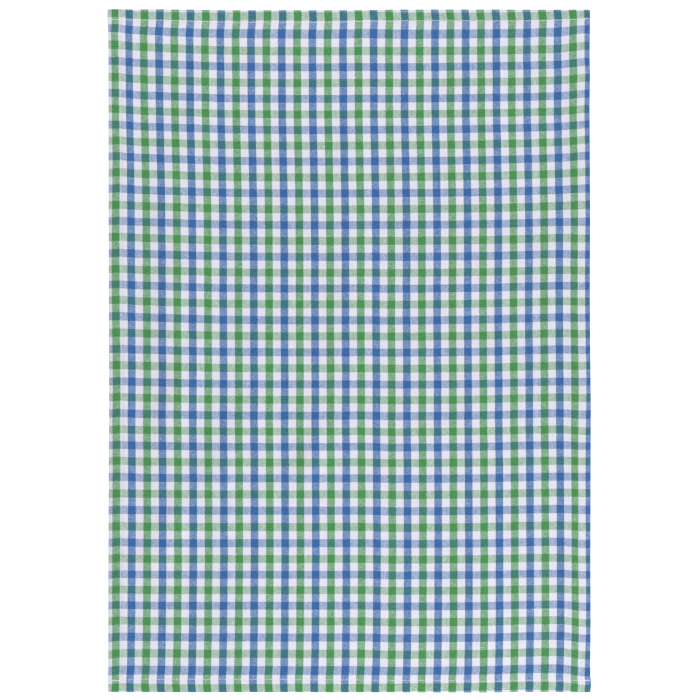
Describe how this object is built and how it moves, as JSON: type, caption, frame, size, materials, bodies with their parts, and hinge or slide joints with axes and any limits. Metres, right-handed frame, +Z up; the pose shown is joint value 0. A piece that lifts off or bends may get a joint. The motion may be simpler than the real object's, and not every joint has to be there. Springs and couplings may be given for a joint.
{
  "type": "tea towel",
  "caption": "Rectangular checked cotton tea towel with narrow turned hems, laid flat with faint fold lines.",
  "frame": {"origin": "under the middle of the towel, on the surface that it lies on", "axes": "+Z up, out of the towel's face; +Y along the towel's length, towards its top edge; +X across its width"},
  "size_m": [0.4952, 0.7006, 0.0034],
  "materials": {
    "checked_cotton": "plain-woven cotton in green, blue and white checks, matt, with narrow turned hems",
    "sewing_thread": "white polyester-cotton sewing thread, slightly lustrous"
  },
  "bodies": {
    "root": {"towel_cloth": "checked_cotton"}
  },
  "joints": []
}
